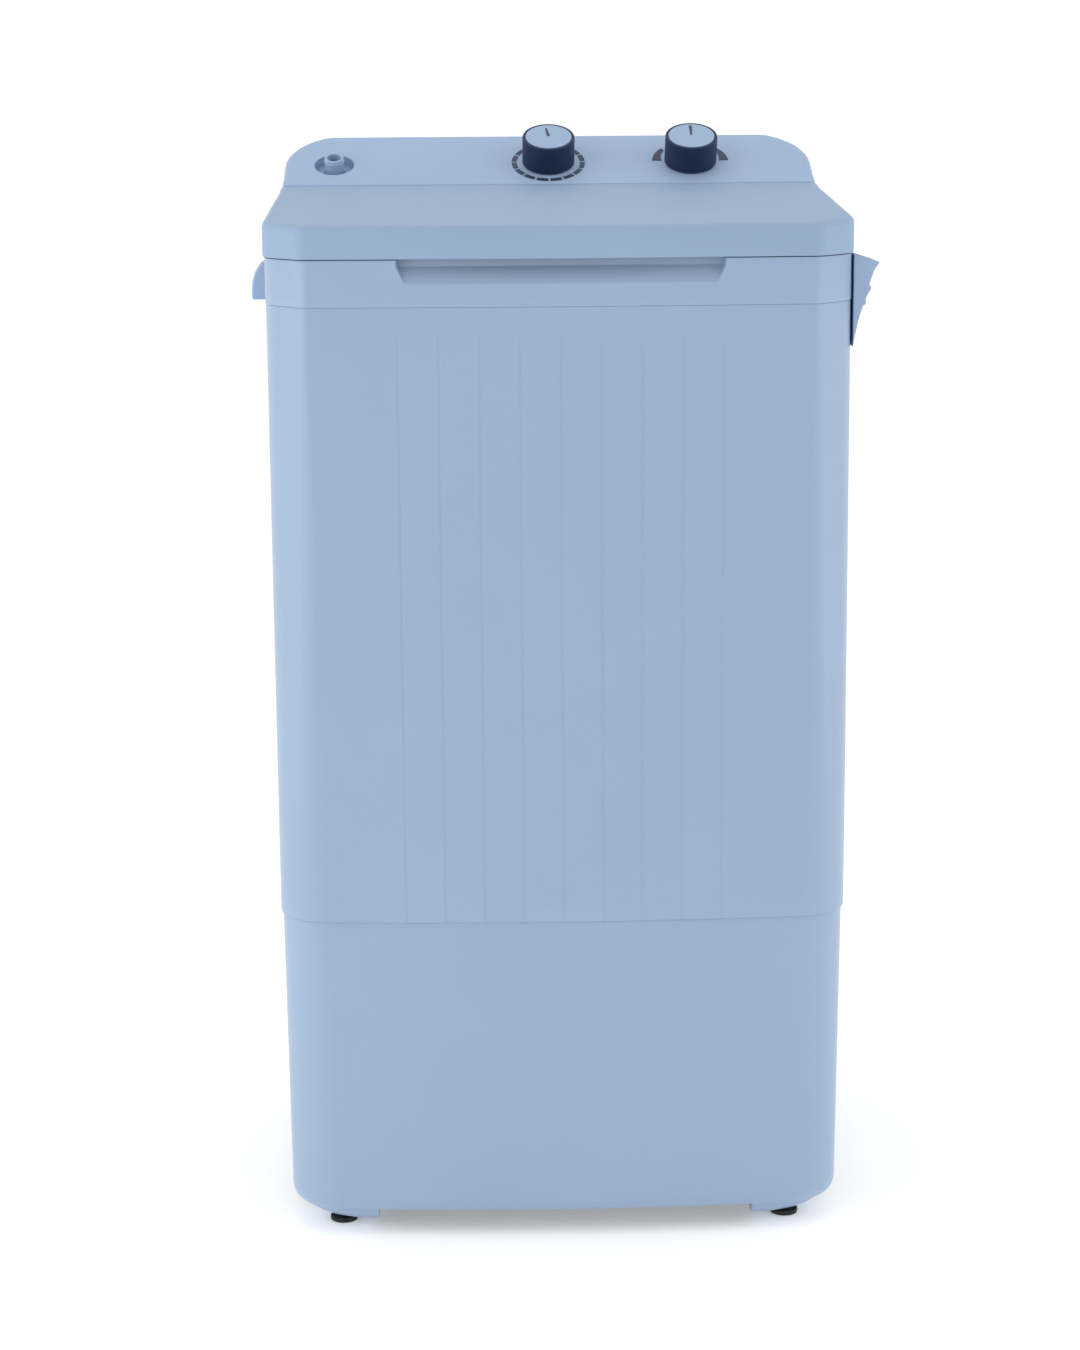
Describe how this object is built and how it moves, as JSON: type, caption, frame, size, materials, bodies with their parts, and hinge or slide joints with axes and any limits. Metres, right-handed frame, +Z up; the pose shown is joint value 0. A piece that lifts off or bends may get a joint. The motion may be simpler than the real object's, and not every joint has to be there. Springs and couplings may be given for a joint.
{
  "type": "single tub washer",
  "caption": "Top loading single tub washer: tapered fluted plastic cabinet on feet, hinged lid, sloped control hood with knobs, belt driven pulsator and drain valve.",
  "frame": {"origin": "on the floor, under the middle of the cabinet", "axes": "+Z up, -Y is the front with the finger recess, +X is the side with the hose hook and the drain"},
  "size_m": [0.4857, 0.403, 0.8656],
  "materials": {
    "body_plastic": "smooth moulded, pale steel blue",
    "lid_plastic": "smooth moulded, pale steel blue",
    "panel_plastic": "smooth moulded, pale steel blue",
    "navy_plastic": "satin",
    "disc_plastic": "smooth",
    "print_navy": "printed ink",
    "white_plastic": "moulded",
    "tub_plastic": "smooth moulded",
    "net": "woven net",
    "grey_plastic": "moulded",
    "black_rubber": "matt",
    "steel": "turned",
    "galvanised": "galvanised sheet",
    "cast": "die cast",
    "bronze": "sintered",
    "loom": "sleeve"
  },
  "bodies": {
    "cabinet": {"base_skirt": "body_plastic", "base_guard": "grey_plastic", "cabinet_shell": "body_plastic", "top_frame": "body_plastic", "control_hood": "panel_plastic", "rear_cover": "body_plastic", "casing_screws": "steel", "foot_brackets": "body_plastic", "foot_pads": "black_rubber", "carry_handle_left": "body_plastic", "carry_handle_right": "body_plastic", "hose_hook": "body_plastic", "timer_dial": "print_navy", "selector_dial": "print_navy", "timer_body": "white_plastic", "selector_bracket": "white_plastic", "drain_strap": "black_rubber", "inlet_spigot": "white_plastic", "inlet_spout": "white_plastic", "cord_gland": "black_rubber", "wiring_loom": "loom", "wash_tub": "tub_plastic", "channel_cover": "tub_plastic", "sump_duct": "grey_plastic", "valve_body": "white_plastic", "valve_cap": "grey_plastic", "valve_spring": "steel", "drain_pipe": "grey_plastic", "drain_spigot": "white_plastic", "overflow_pipe": "grey_plastic", "bearing_housing": "cast", "shaft_bushes": "bronze", "shaft_seal": "black_rubber", "drive_frame": "galvanised", "frame_bolts": "steel", "motor_housing": "cast", "motor_mounts": "black_rubber", "motor_bolts": "steel", "capacitor": "white_plastic", "drive_belt": "black_rubber"},
    "lid_body": {"lid": "lid_plastic", "lid_hinge_pins": "steel", "lid_buffers": "black_rubber"},
    "timer": {"timer_knob": "navy_plastic", "timer_knob_cap": "disc_plastic", "timer_shaft": "steel"},
    "selector": {"selector_knob": "navy_plastic", "selector_knob_cap": "disc_plastic", "selector_shaft": "steel"},
    "drain_piston": {"valve_rod": "steel", "valve_plug": "black_rubber"},
    "agitator": {"pulsator": "disc_plastic", "pulsator_screw": "steel", "drive_shaft": "steel", "large_pulley": "grey_plastic"},
    "rotor": {"motor_shaft": "steel", "motor_pulley": "cast", "motor_fan": "white_plastic"},
    "filter": {"lint_filter_frame": "disc_plastic", "lint_filter_net": "net"}
  },
  "joints": [
    {"name": "lid_hinge", "type": "hinge", "parent": "cabinet", "child": "lid_body", "pos_m": [0, 0.0913, 0.81189], "axis": [-1, 0, 0], "range_deg": [0, 88]},
    {"name": "timer_turn", "type": "hinge", "parent": "cabinet", "child": "timer", "pos_m": [0, 0.12664, 0.8333], "axis": [0, -0.4787, 0.878], "range_deg": [-315, 0]},
    {"name": "selector_turn", "type": "hinge", "parent": "cabinet", "child": "selector", "pos_m": [0.1205, 0.12664, 0.8333], "axis": [0, -0.4787, 0.878], "range_deg": [-80, 80]},
    {"name": "piston_lift", "type": "slide", "parent": "cabinet", "child": "drain_piston", "axis": [0, 0, 1], "range_m": [-0.0121, 0.0121], "deforming": ["valve_spring", "drain_strap"]},
    {"name": "pulsator_spin", "type": "hinge", "parent": "cabinet", "child": "agitator", "pos_m": [0, -0.05, 0.34], "axis": [0, 0, 1], "continuous": true},
    {"name": "motor_spin", "type": "hinge", "parent": "cabinet", "child": "rotor", "pos_m": [0, 0.098, 0.16], "axis": [0, 0, 1], "continuous": true},
    {"name": "filter_lift", "type": "slide", "parent": "cabinet", "child": "filter", "axis": [0, 0, 1], "range_m": [0, 0.1]}
  ],
  "couplings": [
    {"joint": "piston_lift", "follows": "selector_turn", "m_per_rad": -0.0086},
    {"joint": "motor_spin", "follows": "pulsator_spin", "ratio": 5.76}
  ]
}
